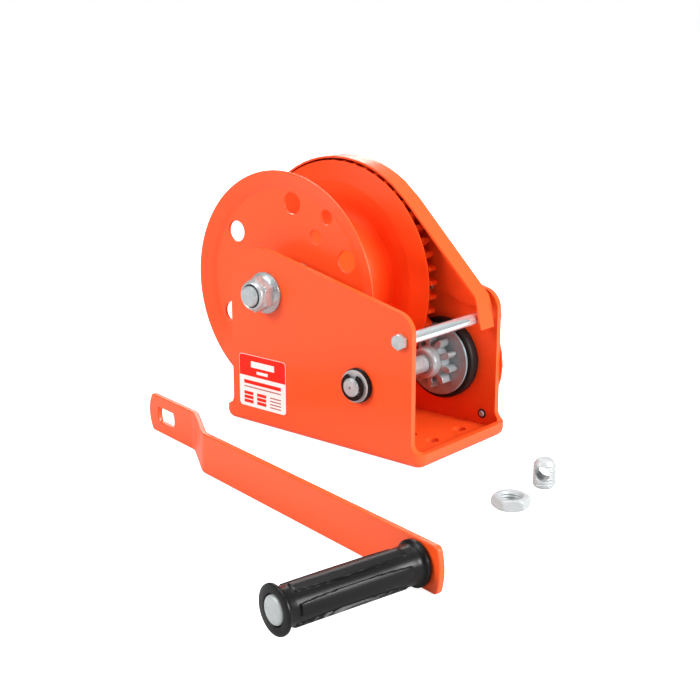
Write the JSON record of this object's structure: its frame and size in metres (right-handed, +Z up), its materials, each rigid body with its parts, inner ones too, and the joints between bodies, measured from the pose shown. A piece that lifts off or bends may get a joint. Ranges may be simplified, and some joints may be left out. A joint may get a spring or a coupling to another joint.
{
  "type": "boat trailer winch",
  "caption": "Geared hand winch in a folded sheet frame with a rope drum and load brake, its crank, crank nut and rope anchor laid beside it.",
  "frame": {"origin": "centre of the underside of the frame's base", "axes": "+Z up; the drum and the input shaft lie along Y, with the brake and the crank end at +Y; the tie bar and pinion are at +X"},
  "size_m": [0.3786, 0.4131, 0.2063],
  "materials": {
    "orange_paint": "gloss powder coat",
    "orange_dark_paint": "gloss powder coat",
    "zinc": "bright zinc plating",
    "steel": "oiled steel",
    "chrome_tube": "bright plating",
    "black_plastic": "moulded, satin",
    "black_ring": "matt",
    "friction_lining": "rough",
    "nylon": "satin",
    "sticker": "printed film"
  },
  "bodies": {
    "frame": {"frame": "orange_paint", "gear_cover": "orange_paint", "cover_rivet_1": "zinc", "cover_rivet_2": "zinc", "cover_rivet_3": "zinc", "tie_bar": "chrome_tube", "tie_bolt_near": "zinc", "tie_bolt_far": "zinc", "drum_axle": "zinc", "axle_nut": "zinc", "nut_insert": "nylon", "axle_sleeve": "steel", "shaft_bush_near": "black_plastic", "shaft_bush_far": "steel", "brake_seal": "black_ring", "brake_cover": "orange_dark_paint", "brake_rivet_1": "orange_dark_paint", "brake_rivet_2": "orange_dark_paint", "brake_rivet_3": "orange_dark_paint", "label": "sticker", "pawl_pin": "steel", "pawl_spacer": "steel", "pawl_spring": "steel"},
    "drum": {"drum_flange_near": "orange_paint", "drum_flange_far": "orange_paint", "drum_hub": "orange_paint", "drum_bush_near": "nylon", "drum_bush_far": "nylon", "drum_stay_1": "steel", "drum_stay_2": "steel", "drum_stay_3": "steel", "drum_stay_4": "steel", "drum_gear": "orange_paint"},
    "input": {"input_shaft": "zinc", "pinion": "steel", "pinion_disc": "zinc", "shaft_washer": "zinc", "retaining_clip": "black_plastic", "drive_hub": "zinc"},
    "ratchet": {"ratchet_wheel": "steel", "friction_disc_inner": "friction_lining", "friction_disc_outer": "friction_lining"},
    "pawl": {"pawl": "steel"},
    "crank": {"crank_arm": "orange_paint", "grip_spindle": "zinc", "grip_washer": "zinc"},
    "grip": {"grip": "black_plastic"},
    "crank_nut": {"crank_nut": "zinc"},
    "rope_anchor": {"rope_anchor": "zinc"}
  },
  "joints": [
    {"name": "drum_spin", "type": "hinge", "parent": "frame", "child": "drum", "pos_m": [-0.0512, 0, 0.1094], "axis": [0, 1, 0], "continuous": true},
    {"name": "input_spin", "type": "hinge", "parent": "frame", "child": "input", "pos_m": [0.0418, 0, 0.05352], "axis": [0, 1, 0], "continuous": true},
    {"name": "ratchet_spin", "type": "hinge", "parent": "frame", "child": "ratchet", "pos_m": [0.0418, 0.0609, 0.05352], "axis": [0, 1, 0], "continuous": true},
    {"name": "pawl_lift", "type": "hinge", "parent": "frame", "child": "pawl", "pos_m": [0.0148, 0.061, 0.07472], "axis": [0, -1, 0], "range_deg": [0, 13], "stiffness_Nm_per_rad": 0.05, "springref_deg": -5.73},
    {"name": "crank_lift", "type": "slide", "parent": "frame", "child": "crank", "axis": [0, 0, 1], "range_m": [0, 0.12]},
    {"name": "grip_spin", "type": "hinge", "parent": "crank", "child": "grip", "pos_m": [0.20344, -0.24484, 0.0148], "axis": [0.2069, 0.9784, 0], "continuous": true},
    {"name": "nut_lift", "type": "slide", "parent": "frame", "child": "crank_nut", "axis": [0, 0, 1], "range_m": [0, 0.06]},
    {"name": "anchor_lift", "type": "slide", "parent": "frame", "child": "rope_anchor", "axis": [0, 0, 1], "range_m": [0, 0.06]}
  ],
  "couplings": [
    {"joint": "input_spin", "follows": "drum_spin", "ratio": -5.2}
  ]
}
